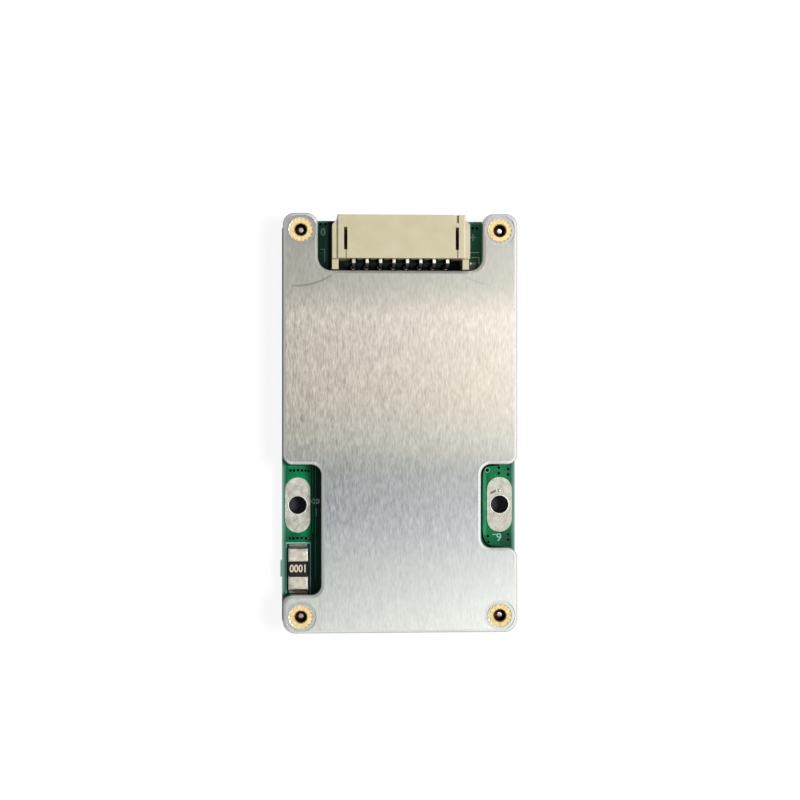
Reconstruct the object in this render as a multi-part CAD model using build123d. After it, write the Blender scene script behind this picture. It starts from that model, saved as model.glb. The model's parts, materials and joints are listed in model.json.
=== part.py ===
from build123d import *
import math
import os

os.makedirs("parts", exist_ok=True)

# A battery management board: an aluminium heat plate screwed over a circuit board, with a
# right-angle wire connector at the top edge and a slotted power pad on each side.
# Seen from the plate, +X is right and +Y points to the connector. +Z goes from the board to
# the plate, and z = 0 is the plane under the four screw heads that the part lies on.

# Heat plate
plate_width = 35.0
plate_length = 62.5
plate_thickness = 2.0
plate_edge_bevel = 0.45
ear_round = 1.7
foot_round = 1.9
lip_round = 1.5
notch_inner_round = 2.0
recess_inner_round = 1.5
ear_width = 5.2
foot_margin = 5.7
left_recess_length = 19.4
left_recess_depth = 5.7
right_recess_length = 12.5
right_recess_depth = 5.45

# Board
board_thickness = 1.6
board_overhang = 0.15
board_top_inset = 0.75
board_foot_inset = 0.35
board_round = 1.5
stub_length = 2.4
stub_reach = 0.25

# Knurled press-in nuts, which also space the plate off the board
nut_inset_x = 2.65
nut_inset_y = 2.5
nut_diameter = 3.6
nut_teeth = 16
nut_tooth_depth = 0.25
nut_sleeve_diameter = 3.0
nut_bore = 1.75
nut_bore_chamfer = 0.15
coin_diameter = 4.6
coin_depth = 0.15

# Pan head screws from the underside, with the thread at its pitch diameter
screw_length = 5.0
screw_diameter = 1.7
screw_hole = 2.2
screw_head_diameter = 4.0
screw_head_height = 1.6
screw_head_bevel = 0.4
cross_span = 1.9
cross_width = 0.5
cross_depth = 0.9
cross_taper = 12

# Power pads: a tinned slot on both faces of the board, joined by a barrel round the hole
pad_inset = 2.2
pad_width = 3.8
pad_length = 8.3
pad_thickness = 0.2
pad_hole = 2.65
pad_barrel_wall = 0.15

# Shunt resistor below the left pad
shunt_width = 3.0
shunt_length = 6.3
shunt_band = 2.05
shunt_height = 1.0
shunt_band_proud = 0.08
shunt_round = 0.3
shunt_bevel = 0.15
shunt_edge_gap = 0.95
shunt_end_gap = 0.4
shunt_solder_reach = 0.5
shunt_solder_height = 0.7
shunt_solder_inset = 0.15

# Connector housing
connector_width = 20.4
connector_height = 7.0
connector_overhang = 0.3
shroud_width = 18.9
shroud_depth = 6.4
shroud_edge_round = 0.25
shroud_side_wall = 0.85
shroud_wall = 1.0
socket_depth = 4.6
socket_lead_in = 0.25
flange_setback = 0.8
flange_drop = 0.5
flange_bevel = 0.6
leg_reach = 1.5
leg_width = 0.95
leg_drop = 2.2
latch_slot_width = 0.5
latch_slot_length = 3.3
latch_slot_start = 1.85
latch_groove_depth = 0.3
latch_wall_gap = 0.1
key_width = 0.8
key_length = 1.2
key_depth = 0.6
key_shift = 0.15
notch_rear_gap = 0.15

# Connector pins and their joints
pin_columns = 8
pin_pitch = 2.0
pin_row_spacing = 2.0
pin_size = 0.5
pin_tip_setback = 0.9
pin_bend = 0.45
pin_tip_bevel = 0.12
pin_tail_length = 0.8
upper_tail_reach = 1.0
tail_row_spacing = 1.5
channel_width = 1.2
channel_depth = 0.4
channel_height = 5.9
channel_bevel = 0.4
pocket_height = 3.3
joint_diameter = 1.4
joint_neck = 0.84
joint_height = 1.5
joint_foot_height = 0.5
joint_gap = 0.1
joint_sides = 8

# Power transistors and the heat pad over them
transistor_columns = 4
transistor_rows = 2
transistor_pitch_x = 8.2
transistor_pitch_y = 12.0
transistor_foot_gap = 6.2
transistor_width = 6.6
transistor_length = 6.1
transistor_height = 2.3
tab_width = 5.3
tab_thickness = 0.5
tab_reach = 1.1
tab_inside = 4.6
tab_corner = 0.7
lead_spacing = 4.57
lead_width = 0.75
lead_reach = 2.7
lead_exit_height = 1.1
stub_lead_length = 0.9
heat_pad_thickness = 0.3
heat_pad_margin = 0.35

# Chips on the underside
chip_height = 1.0
chip_standoff = 0.1
chip_lead_thickness = 0.15
lead_heel = 0.5
monitor_size = (4.4, 7.8)
monitor_pin_count = 15
monitor_pitch = 0.5
monitor_lead_width = 0.22
monitor_from_connector = 12.0
controller_size = (4.4, 6.5)
controller_pin_count = 10
controller_pitch = 0.65
controller_lead_width = 0.25
controller_from_foot = 14.0
chip_lead_reach = 1.0
pin_one_bevel = 0.4

# Small parts
bleed_pitch = 5.4
bleed_from_connector = 6.6
bleed_pad_gap = 2.0
bleed_resistor_inset = 4.75
bleed_transistor_inset = 9.4
resistor_size = (3.2, 1.6, 0.55)
resistor_cap = 0.5
bleed_transistor_size = (1.3, 2.9)
bleed_transistor_height = 1.0
bleed_lead_width = 0.4
bleed_lead_reach = 0.55
bleed_lead_spacing = 0.95
capacitor_size = (2.0, 1.25, 0.8)
capacitor_cap = 0.4
capacitor_pitch = 2.1
capacitor_side_gap = 0.8
capacitor_from_monitor = 4.2
gap_chip_size = (1.6, 0.8, 0.45)
gap_chip_cap = 0.35
gap_chip_side = 1.0
gap_chip_rear = 0.75
cap_proud = 0.04

# Clearance round what is pushed or soldered through a hole
fit_gap = 0.02

# Levels
board_bottom = screw_head_height
board_top = board_bottom + board_thickness
plate_bottom = board_top + transistor_height + heat_pad_thickness
plate_top = plate_bottom + plate_thickness

# Places in plan
half_width = plate_width / 2
half_length = plate_length / 2
board_half_width = half_width + board_overhang
board_top_y = half_length - board_top_inset
board_foot_y = -half_length + board_foot_inset
nut_x = half_width - nut_inset_x
nut_y = half_length - nut_inset_y
left_recess_foot_y = -half_length + foot_margin
recess_top_y = left_recess_foot_y + left_recess_length
right_recess_foot_y = recess_top_y - right_recess_length
pad_x = half_width - pad_inset
pad_y = recess_top_y - right_recess_length / 2
shunt_x = -board_half_width + shunt_edge_gap + shunt_width / 2
shunt_y = left_recess_foot_y + shunt_end_gap + shunt_length / 2
mouth_y = board_top_y + connector_overhang
rear_y = mouth_y - shroud_depth
socket_back_y = mouth_y - socket_depth
leg_y = rear_y - leg_reach
notch_floor_y = leg_y - notch_rear_gap
notch_half_width = half_width - ear_width
socket_half_width = shroud_width / 2 - shroud_side_wall
socket_middle_z = board_top + connector_height / 2
upper_pin_z = socket_middle_z + pin_row_spacing / 2
lower_pin_z = socket_middle_z - pin_row_spacing / 2
upper_tail_y = rear_y - upper_tail_reach
lower_tail_y = upper_tail_y + tail_row_spacing
pocket_front_y = lower_tail_y + joint_diameter / 2 + joint_gap


def corners():
    """The four nut places."""
    return [(sx * nut_x, sy * nut_y) for sy in (1, -1) for sx in (-1, 1)]


def pin_places():
    """X of each pin column."""
    return [(k - (pin_columns - 1) / 2) * pin_pitch for k in range(pin_columns)]


def rounded_face(outline):
    """A face from corner points (x, y, rounding radius)."""
    points = [(x, y) for x, y, _ in outline]
    return make_face(FilletPolyline(*points, radius=[r for _, _, r in outline], close=True))


def box(low, high):
    """A block between two opposite corners."""
    size = [b - a for a, b in zip(low, high)]
    return Pos(*low) * Box(*size, align=(Align.MIN, Align.MIN, Align.MIN))


def rod(diameter, low, high):
    """An upright cylinder on the Z axis."""
    align = (Align.CENTER, Align.CENTER, Align.MIN)
    return Pos(0, 0, low) * Cylinder(diameter / 2, high - low, align=align)


def save(node, *shapes):
    """Writes one node, which may hold several separate solids."""
    solids = [s for shape in shapes for s in shape.solids()]
    export_step(solids[0] if len(solids) == 1 else Compound(solids), f"parts/{node}.step")


def heat_plate():
    """The plate: one outline with its three cut-outs, a bevelled upper edge and four coined holes."""
    w, h = half_width, half_length
    left_wall, right_wall = -w + left_recess_depth, w - right_recess_depth
    outline = [
        (-w, -h, foot_round),
        (w, -h, foot_round),
        (w, right_recess_foot_y, lip_round),
        (right_wall, right_recess_foot_y, recess_inner_round),
        (right_wall, recess_top_y, recess_inner_round),
        (w, recess_top_y, lip_round),
        (w, h, ear_round),
        (notch_half_width, h, ear_round),
        (notch_half_width, notch_floor_y, notch_inner_round),
        (-notch_half_width, notch_floor_y, notch_inner_round),
        (-notch_half_width, h, ear_round),
        (-w, h, ear_round),
        (-w, recess_top_y, lip_round),
        (left_wall, recess_top_y, recess_inner_round),
        (left_wall, left_recess_foot_y, recess_inner_round),
        (-w, left_recess_foot_y, lip_round),
    ]
    plate = extrude(Pos(0, 0, plate_bottom) * rounded_face(outline), amount=plate_thickness)
    plate = chamfer(plate.faces().sort_by(Axis.Z)[-1].edges(), plate_edge_bevel)
    for x, y in corners():
        plate -= Pos(x, y) * rod(nut_diameter + 2 * fit_gap, plate_bottom, plate_top)
        plate -= Pos(x, y) * rod(coin_diameter, plate_top - coin_depth, plate_top)
    return plate


def knurled_nut():
    """A press-in nut: teeth through the plate, then a plain sleeve down to the board."""
    tip, root = nut_diameter / 2, nut_diameter / 2 - nut_tooth_depth
    step = math.pi / nut_teeth
    ring_points = [
        ((tip if i % 2 else root) * math.cos(i * step), (tip if i % 2 else root) * math.sin(i * step))
        for i in range(2 * nut_teeth)
    ]
    teeth = extrude(make_face(Polyline(*ring_points, close=True)), amount=plate_thickness)
    nut = Pos(0, 0, plate_bottom) * teeth + rod(nut_sleeve_diameter, board_top, plate_bottom)
    bore = nut_bore / 2
    drill = [
        (0, board_top),
        (bore, board_top),
        (bore, plate_top - nut_bore_chamfer),
        (bore + nut_bore_chamfer, plate_top),
        (0, plate_top),
    ]
    return nut - revolve(Plane.XZ * make_face(Polyline(*drill, close=True)), Axis.Z)


def screw():
    """A pan head screw, head down, with a cross recess."""
    head = rod(screw_head_diameter, 0, screw_head_height)
    head = chamfer(head.faces().sort_by(Axis.Z)[0].edges(), screw_head_bevel)
    body = head + rod(screw_diameter, screw_head_height, screw_head_height + screw_length)
    slot = extrude(Rectangle(cross_span, cross_width), amount=cross_depth, taper=cross_taper)
    return body - slot - Rot(0, 0, 90) * slot


def circuit_board():
    """The board, with its break-off stub and the holes for screws, pads and pin tails."""
    outline = [
        (-board_half_width, board_foot_y, board_round),
        (board_half_width, board_foot_y, board_round),
        (board_half_width, board_top_y, board_round),
        (-board_half_width, board_top_y, board_round),
    ]
    face = rounded_face(outline)
    face += Pos(-board_half_width, shunt_y) * Rectangle(2 * stub_reach, stub_length)
    holes = [Pos(x, y) * Circle(screw_hole / 2) for x, y in corners()]
    barrel = pad_hole / 2 + pad_barrel_wall + fit_gap
    holes += [Pos(side * pad_x, pad_y) * Circle(barrel) for side in (-1, 1)]
    tail_hole = pin_size + 2 * fit_gap
    tails = [(x, y) for x in pin_places() for y in (upper_tail_y, lower_tail_y)]
    holes += [Pos(x, y) * Rectangle(tail_hole, tail_hole) for x, y in tails]
    return extrude(Pos(0, 0, board_bottom) * (face - holes), amount=board_thickness)


def power_pad():
    """A tinned slot pad on each face, with the barrel that lines the hole between them."""
    slot = SlotOverall(pad_length, pad_width, rotation=90)
    upper = extrude(Pos(0, 0, board_top) * slot, amount=pad_thickness)
    lower = extrude(Pos(0, 0, board_bottom) * slot, amount=-pad_thickness)
    barrel = rod(pad_hole + 2 * pad_barrel_wall, board_bottom, board_top)
    return upper + lower + barrel - rod(pad_hole, board_bottom - pad_thickness, board_top + pad_thickness)


def shunt_terminal(side):
    """A copper end block of the shunt, bevelled on top. Side is +1 for the upper end."""
    length = (shunt_length - shunt_band) / 2
    half, top = shunt_width / 2, board_top + shunt_height
    block = box((-half, -length / 2, board_top), (half, length / 2, top))
    block = chamfer(block.faces().sort_by(Axis.Z)[-1].edges(), shunt_bevel)
    return Pos(shunt_x, shunt_y + side * (shunt_band + length) / 2) * block


def shunt_element():
    """The coated resistance strip between the terminals, a little proud of them."""
    height = shunt_height + shunt_band_proud
    profile = [
        (-shunt_width / 2, board_top, 0),
        (shunt_width / 2, board_top, 0),
        (shunt_width / 2, board_top + height, shunt_round),
        (-shunt_width / 2, board_top + height, shunt_round),
    ]
    strip = extrude(Plane.XZ * rounded_face(profile), amount=shunt_band / 2, both=True)
    return Pos(shunt_x, shunt_y) * strip


def shunt_solder(side):
    """The concave solder fillet at one end of the shunt."""
    foot, top = shunt_solder_reach, shunt_solder_height
    hollow = (0.36 * foot, 0.36 * top)
    sides = [Line((0, 0), (foot, 0)), ThreePointArc((foot, 0), hollow, (0, top)), Line((0, top), (0, 0))]
    wedge = extrude(Plane.YZ * make_face(sides), amount=shunt_width / 2 - shunt_solder_inset, both=True)
    if side < 0:
        wedge = Rot(0, 0, 180) * wedge
    return Pos(shunt_x, shunt_y + side * shunt_length / 2, board_top) * wedge


def connector_housing():
    """The moulded shroud: socket, latch slots, key groove, rear pin channels and two legs."""
    half, top = shroud_width / 2, board_top + connector_height
    body = box((-half, rear_y, board_top), (half, mouth_y, top))
    body = fillet(body.edges().filter_by(Axis.Y).sort_by(Axis.Z)[-2:], shroud_edge_round)
    outer, flange_front = connector_width / 2, mouth_y - flange_setback
    for side in (-1, 1):
        flange = box((0, rear_y, board_top), (outer, flange_front, top - flange_drop))
        corner = flange.edges().filter_by(Axis.Z).sort_by_distance((outer, flange_front, top))[0]
        flange = chamfer(corner, flange_bevel)
        leg = box((outer - leg_width, leg_y, board_top), (outer, rear_y, top - leg_drop))
        flange = flange + leg
        body += flange if side > 0 else mirror(flange, about=Plane.YZ)
    mouth = box(
        (-socket_half_width, socket_back_y, board_top + shroud_wall),
        (socket_half_width, mouth_y, top - shroud_wall),
    )
    body -= mouth
    rim = body.faces().sort_by(Axis.Y)[-1].inner_wires()[0].edges()
    body = chamfer(rim, socket_lead_in)
    slot_x = socket_half_width - latch_wall_gap - latch_slot_width / 2
    slot_front = mouth_y - latch_slot_start
    slot_rear = slot_front - latch_slot_length
    for side in (-1, 1):
        low_x, high_x = side * slot_x - latch_slot_width / 2, side * slot_x + latch_slot_width / 2
        body -= box((low_x, slot_rear, top - shroud_wall), (high_x, slot_front, top))
        groove = latch_slot_width / 4
        body -= box(
            (side * slot_x - groove, rear_y, top - latch_groove_depth),
            (side * slot_x + groove, slot_rear, top),
        )
    key = box((-key_width / 2, mouth_y - key_length, top - key_depth), (key_width / 2, mouth_y, top))
    body -= Pos(slot_x - key_shift) * key
    wide, crown = channel_width / 2, board_top + channel_height
    arch = Polyline(
        (-wide, board_top),
        (wide, board_top),
        (wide, crown - channel_bevel),
        (wide - channel_bevel, crown),
        (channel_bevel - wide, crown),
        (-wide, crown - channel_bevel),
        close=True,
    )
    channel = Pos(0, rear_y, 0) * extrude(Plane.XZ * make_face(arch), amount=-channel_depth)
    field = pin_places()[-1] + joint_diameter / 2 + joint_gap
    body -= box((-field, rear_y, board_top), (field, pocket_front_y, board_top + pocket_height))
    hole = pin_size / 2 + fit_gap
    for x in pin_places():
        body -= Pos(x) * channel
        for z in (upper_pin_z, lower_pin_z):
            body -= box((x - hole, rear_y, z - hole), (x + hole, socket_back_y, z + hole))
    return body


def pin(row_z, tail_y):
    """A square pin: straight through the rear wall, then bent down through the board."""
    half, bevel = pin_size / 2, pin_tip_bevel
    tip_y, tail_z = mouth_y - pin_tip_setback, board_bottom - pin_tail_length
    knee_y, knee_z = tail_y + pin_bend, row_z - pin_bend
    miter = half * math.tan(math.radians(22.5))
    side = Polyline(
        (tip_y, row_z + half - bevel),
        (tip_y - bevel, row_z + half),
        (knee_y - miter, row_z + half),
        (tail_y - half, knee_z + miter),
        (tail_y - half, tail_z + bevel),
        (tail_y - half + bevel, tail_z),
        (tail_y + half - bevel, tail_z),
        (tail_y + half, tail_z + bevel),
        (tail_y + half, knee_z - miter),
        (knee_y + miter, row_z - half),
        (tip_y - bevel, row_z - half),
        (tip_y, row_z - half + bevel),
        close=True,
    )
    return extrude(Plane.YZ * make_face(side), amount=half, both=True)


def solder_cone(height):
    """An eight-sided solder cone that stands on z = 0 round a square tail."""
    run = (joint_diameter - joint_neck) / 2 * math.cos(math.pi / joint_sides)
    slope = math.degrees(math.atan2(run, height))
    cone = extrude(RegularPolygon(joint_diameter / 2, joint_sides), amount=height, taper=slope)
    half = pin_size / 2
    return cone - box((-half, -half, 0), (half, half, height))


def pin_joint(tail_y):
    """The solder round one tail, a tall cone on the board and a low one under it."""
    upper = Pos(0, tail_y, board_top) * solder_cone(joint_height)
    lower = Pos(0, tail_y, board_bottom) * Rot(180, 0, 0) * solder_cone(joint_foot_height)
    return Compound([upper.solid(), lower.solid()])


def gull_lead(width, thickness, exit_height, reach):
    """A bent lead that leaves a body face at y = 0 towards -Y and lands on z = 0."""
    heel = lead_heel * reach
    outline = Polyline(
        (0, exit_height - thickness / 2),
        (0, exit_height + thickness / 2),
        (-heel, thickness),
        (-reach, thickness),
        (-reach, 0),
        (-heel, 0),
        close=True,
    )
    return extrude(Plane.YZ * make_face(outline), amount=width / 2, both=True)


def power_transistor():
    """The moulded body, and its metal: the tab under it, two leads and a cropped middle lead."""
    w, l = transistor_width / 2, transistor_length / 2
    body = Box(2 * w, 2 * l, transistor_height, align=(Align.CENTER, Align.CENTER, Align.MIN))
    tab_foot, tab_end, t = l - tab_inside, l + tab_reach, tab_width / 2
    outline = Polyline(
        (-t, tab_foot),
        (t, tab_foot),
        (t, tab_end - tab_corner),
        (t - tab_corner, tab_end),
        (tab_corner - t, tab_end),
        (-t, tab_end - tab_corner),
        close=True,
    )
    tab = extrude(make_face(outline), amount=tab_thickness)
    body -= tab
    lead = gull_lead(lead_width, tab_thickness, lead_exit_height, lead_reach)
    metal = [tab] + [Pos(side * lead_spacing / 2, -l) * lead for side in (-1, 1)]
    stub_z, half = lead_exit_height - tab_thickness / 2, lead_width / 2
    metal.append(box((-half, -l - stub_lead_length, stub_z), (half, -l, stub_z + tab_thickness)))
    return body, Compound([s for piece in metal for s in piece.solids()])


def transistor_places():
    """X and Y of each power transistor, row by row from the connector."""
    last = recess_top_y + transistor_foot_gap
    return [
        ((c - (transistor_columns - 1) / 2) * transistor_pitch_x, last + r * transistor_pitch_y)
        for r in reversed(range(transistor_rows))
        for c in range(transistor_columns)
    ]


def heat_pad():
    """The silicone sheet that fills the gap between the transistors and the plate."""
    xs, ys = [x for x, _ in transistor_places()], [y for _, y in transistor_places()]
    reach_x = transistor_width / 2 + heat_pad_margin
    reach_y = transistor_length / 2 + heat_pad_margin
    low = (min(xs) - reach_x, min(ys) - reach_y, plate_bottom - heat_pad_thickness)
    return box(low, (max(xs) + reach_x, max(ys) + reach_y, plate_bottom))


def leaded_chip(size, height, pins, pitch, lead_width):
    """A flat moulded chip with rows of bent leads down its two long sides, and its pin-one corner cut."""
    x, y = size
    body = box((-x / 2, -y / 2, chip_standoff), (x / 2, y / 2, height))
    corner = body.edges().filter_by(Axis.Z).sort_by_distance((-x / 2, y / 2, height))[0]
    body = chamfer(corner, pin_one_bevel)
    lead = gull_lead(lead_width, chip_lead_thickness, height / 2, chip_lead_reach)
    leads = []
    for turn in (90, -90):
        for k in range(pins):
            along = (k - (pins - 1) / 2) * pitch
            leads.append(Rot(0, 0, turn) * Pos(along, -x / 2) * lead)
    return body, leads


def end_capped_chip(size, cap):
    """A two-terminal chip along X: the body between its two slightly thicker metal ends."""
    length, width, height = size
    half, middle, wide = length / 2, length / 2 - cap, width / 2 + cap_proud
    body = box((-middle, -width / 2, 0), (middle, width / 2, height))
    caps = [box((low, -wide, 0), (low + cap, wide, height + cap_proud)) for low in (-half, middle)]
    return body, caps


def bleed_transistor():
    """A three-lead signal transistor: its body and leads."""
    x, y = bleed_transistor_size
    height = bleed_transistor_height
    body = box((-x / 2, -y / 2, chip_standoff), (x / 2, y / 2, height))
    lead = gull_lead(bleed_lead_width, chip_lead_thickness, height / 2, bleed_lead_reach)
    pair, single = Rot(0, 0, -90), Rot(0, 0, 90)
    leads = [pair * Pos(side * bleed_lead_spacing, -x / 2) * lead for side in (-1, 1)]
    leads.append(single * Pos(0, -x / 2) * lead)
    return body, leads


def under(x, y, turn=0):
    """A place on the underside of the board, face down."""
    return Pos(x, y, board_bottom) * Rot(180, 0, turn)


def bleed_places(inset):
    """Two columns of places on the underside, one for each cell channel."""
    first = rear_y - bleed_from_connector
    room = first - (pad_y + pad_length / 2 + bleed_pad_gap)
    rows = int(room / bleed_pitch) + 1
    return [
        (side * (board_half_width - inset), first - k * bleed_pitch, side)
        for side in (-1, 1)
        for k in range(rows)
    ]


def save_set(bodies_node, metal_node, made, places):
    """Writes copies of one small part, their bodies in one node and their metal in another."""
    body, metal = made
    save(bodies_node, *[place * body for place in places])
    save(metal_node, *[place * piece for place in places for piece in metal])


# Plate, nuts, screws and board
save("heat_plate", heat_plate())
nut, fastener = knurled_nut(), screw()
for name, (x, y) in zip(("top_left", "top_right", "foot_left", "foot_right"), corners()):
    save(f"press_nut_{name}", Pos(x, y) * nut)
    save(f"screw_{name}", Pos(x, y) * fastener)
save("circuit_board", circuit_board())

# Power pads and shunt
pad = power_pad()
save("left_power_pad", Pos(-pad_x, pad_y) * pad)
save("right_power_pad", Pos(pad_x, pad_y) * pad)
save("shunt_element", shunt_element())
save("shunt_terminal_upper", shunt_terminal(1))
save("shunt_terminal_lower", shunt_terminal(-1))
save("shunt_solder", shunt_solder(1), shunt_solder(-1))

# Connector
save("connector_housing", connector_housing())
save("connector_pins_upper", *[Pos(x) * pin(upper_pin_z, upper_tail_y) for x in pin_places()])
save("connector_pins_lower", *[Pos(x) * pin(lower_pin_z, lower_tail_y) for x in pin_places()])
joints = [pin_joint(y) for y in (upper_tail_y, lower_tail_y)]
save("connector_solder", *[Pos(x) * joint for joint in joints for x in pin_places()])

# Power transistors and heat pad
transistor_body, transistor_metal = power_transistor()
for number, (x, y) in enumerate(transistor_places(), 1):
    save(f"power_transistor_{number}_body", Pos(x, y, board_top) * transistor_body)
    save(f"power_transistor_{number}_leads", Pos(x, y, board_top) * transistor_metal)
save("heat_pad", heat_pad())

# Small chip beside the connector
gap_chip_x = connector_width / 2 + gap_chip_side
gap_chip_y = notch_floor_y + gap_chip_rear
chip, caps = end_capped_chip(gap_chip_size, gap_chip_cap)
save("gap_chip", Pos(gap_chip_x, gap_chip_y, board_top) * Rot(0, 0, 90) * chip)
save("gap_chip_ends", *[Pos(gap_chip_x, gap_chip_y, board_top) * Rot(0, 0, 90) * cap for cap in caps])

# Underside
monitor_y = rear_y - monitor_from_connector
monitor = leaded_chip(monitor_size, chip_height, monitor_pin_count, monitor_pitch, monitor_lead_width)
save_set("monitor_chip", "monitor_chip_leads", monitor, [under(0, monitor_y)])
controller_y = board_foot_y + controller_from_foot
controller = leaded_chip(
    controller_size, chip_height, controller_pin_count, controller_pitch, controller_lead_width
)
save_set("controller_chip", "controller_chip_leads", controller, [under(0, controller_y)])
resistors = [under(x, y) for x, y, _ in bleed_places(bleed_resistor_inset)]
save_set("bleed_resistors", "bleed_resistor_ends", end_capped_chip(resistor_size, resistor_cap), resistors)
switches = [under(x, y, 0 if side > 0 else 180) for x, y, side in bleed_places(bleed_transistor_inset)]
save_set("bleed_transistors", "bleed_transistor_leads", bleed_transistor(), switches)
capacitor_y = monitor_y - monitor_size[1] / 2 - capacitor_from_monitor
switch_reach = bleed_transistor_size[0] / 2 + bleed_lead_reach + capacitor_side_gap
capacitor_reach = board_half_width - bleed_transistor_inset - switch_reach - capacitor_size[1] / 2
gaps = int(2 * capacitor_reach / capacitor_pitch)
capacitors = [under((k - gaps / 2) * capacitor_pitch, capacitor_y, 90) for k in range(gaps + 1)]
save_set("capacitors", "capacitor_ends", end_capped_chip(capacitor_size, capacitor_cap), capacitors)
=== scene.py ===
# %% [markdown]
# # A battery management board
#
# This file builds the looks of a small battery management board: a brushed aluminium heat plate
# screwed over a green circuit board, with a cream wire connector at one edge, a tinned slot pad on
# each side and a shunt resistor. The shapes come from a finished CAD model. Here we light it, give
# every piece its finish, and add what is too fine for CAD: threads, solder, vias and print.

# %% Load the frame
import json
import math

import bmesh
import bpy
from mathutils import Matrix, Vector


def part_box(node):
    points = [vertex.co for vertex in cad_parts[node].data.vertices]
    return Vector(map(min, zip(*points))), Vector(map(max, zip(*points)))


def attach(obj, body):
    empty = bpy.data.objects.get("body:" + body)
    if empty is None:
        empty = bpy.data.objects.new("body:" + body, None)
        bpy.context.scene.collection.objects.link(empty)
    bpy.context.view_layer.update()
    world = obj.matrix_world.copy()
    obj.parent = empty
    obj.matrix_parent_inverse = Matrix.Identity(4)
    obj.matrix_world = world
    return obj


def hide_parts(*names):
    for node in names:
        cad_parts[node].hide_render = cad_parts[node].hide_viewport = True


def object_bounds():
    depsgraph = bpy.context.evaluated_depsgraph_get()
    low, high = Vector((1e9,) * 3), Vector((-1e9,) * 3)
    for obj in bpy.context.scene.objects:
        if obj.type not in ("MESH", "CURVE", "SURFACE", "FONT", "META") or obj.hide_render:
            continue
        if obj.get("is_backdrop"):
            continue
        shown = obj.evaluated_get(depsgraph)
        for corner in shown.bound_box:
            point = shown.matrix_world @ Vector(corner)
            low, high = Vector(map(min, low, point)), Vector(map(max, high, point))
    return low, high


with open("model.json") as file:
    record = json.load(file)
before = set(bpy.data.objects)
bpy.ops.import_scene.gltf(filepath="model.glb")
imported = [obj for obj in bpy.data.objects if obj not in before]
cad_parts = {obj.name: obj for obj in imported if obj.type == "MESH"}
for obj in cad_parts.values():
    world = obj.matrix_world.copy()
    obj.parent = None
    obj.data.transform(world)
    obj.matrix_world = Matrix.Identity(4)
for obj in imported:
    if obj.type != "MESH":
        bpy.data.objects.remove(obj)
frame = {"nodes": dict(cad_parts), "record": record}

cad_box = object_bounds()
nodes = frame["nodes"]
mm = 0.001
print("CAD pieces:", len(nodes))

# %% [markdown]
# Every height and place that the finishes need can be read from the frame. A node's box gives its
# lowest and highest corner in metres, so the board's top, the plate's top and the pads are known
# without writing them down a second time.

# %% Levels read from the frame
board_low, board_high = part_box("circuit_board")
plate_low, plate_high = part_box("heat_plate")
board_bottom, board_top = board_low.z, board_high.z
plate_top = plate_high.z


def middle(node):
    """The centre of a node's box."""
    low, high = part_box(node)
    return (low + high) / 2


print("board top", round(board_top / mm, 2), "plate top", round(plate_top / mm, 2), "mm")

# %% [markdown]
# ## Camera
#
# The photograph was taken from about a quarter of a metre above the plate, a few degrees to the
# left of it. An empty target would work, but a rotation built from two directions is shorter: the
# camera looks along its own -Z axis, and its Y axis is the top of the picture.

# %% Camera
look_at = Vector((-0.10, 3.45, 7.8)) * mm
distance = 260 * mm
tilt = math.radians(3.5)
picture_width = 119.1 * mm


def new_object(name, data):
    """Adds an object to the scene."""
    made = bpy.data.objects.new(name, data)
    bpy.context.scene.collection.objects.link(made)
    return made


camera = new_object("photo_camera", bpy.data.cameras.new("photo_camera"))
back = Vector((-math.sin(tilt), 0, math.cos(tilt)))
right = Vector((0, 1, 0)).cross(back)
camera.matrix_world = Matrix.Translation(look_at + distance * back) @ Matrix(
    (right, back.cross(right), back)
).transposed().to_4x4()
camera.data.angle = 2 * math.atan(picture_width / 2 / distance)
camera.data.clip_start = 10 * mm
bpy.context.scene.camera = camera
print("lens", round(camera.data.lens, 1), "mm")

# %% [markdown]
# ## Light
#
# The shadows in the two side recesses fall to the left and have a fairly sharp edge, so the main
# light is a small soft box on the right, about 25 degrees off the vertical. The world does the
# rest: plain white for the camera, a dim grey for what light scatters, and its own pattern of
# bright and dark for what the metal mirrors.

# %% Main light
key_direction = Vector((0.44, 0.02, 1.0)).normalized()
key_distance = 900 * mm
key_size = 210 * mm
key_power = 6.3

key = new_object("soft_box", bpy.data.lights.new("soft_box", "AREA"))
key.data.shape = "DISK"
key.data.size = key_size
key.data.energy = key_power
key.data.color = (1.0, 0.98, 0.95)
key.location = look_at + key_distance * key_direction
key.rotation_euler = key_direction.to_track_quat("Z", "Y").to_euler()
print("soft box at", [round(v / mm) for v in key.location], "mm")


# %% [markdown]
# A material, or a world, is a tree of small nodes. One helper adds a node and fills its inputs,
# with a plain value or with a link from another node, so each tree below reads from top to bottom.


# %% Helpers for node trees
def node(tree, kind, inputs=None, **settings):
    """Adds a shader node. Each input gets a value, or a link if the value is a socket."""
    made = tree.nodes.new("ShaderNode" + kind)
    for key_name, value in settings.items():
        setattr(made, key_name, value)
    for key_name, value in (inputs or {}).items():
        if isinstance(value, bpy.types.NodeSocket):
            tree.links.new(value, made.inputs[key_name])
        else:
            made.inputs[key_name].default_value = value
    return made


def math_node(tree, operation, a, b=0.0):
    """One sum of two numbers or sockets."""
    return node(tree, "Math", {0: a, 1: b}, operation=operation).outputs[0]


def larger(tree, a, b):
    """The larger of two values."""
    return math_node(tree, "MAXIMUM", a, b)


def minus(tree, a, b):
    """The first value less the second."""
    return math_node(tree, "SUBTRACT", a, b)


def product(tree, first, *others):
    """Multiplies numbers or sockets."""
    for other in others:
        first = math_node(tree, "MULTIPLY", first, other)
    return first


def span(tree, value, low, high, first=0.0, last=1.0):
    """Turns low to high into first to last, and stops at the ends."""
    ends = {"Value": value, 1: low, 2: high, 3: first, 4: last}
    return node(tree, "MapRange", ends).outputs[0]


def falling(tree, value, low, high):
    """1 up to low, 0 from high on."""
    return span(tree, value, low, high, 1.0, 0.0)


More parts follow.
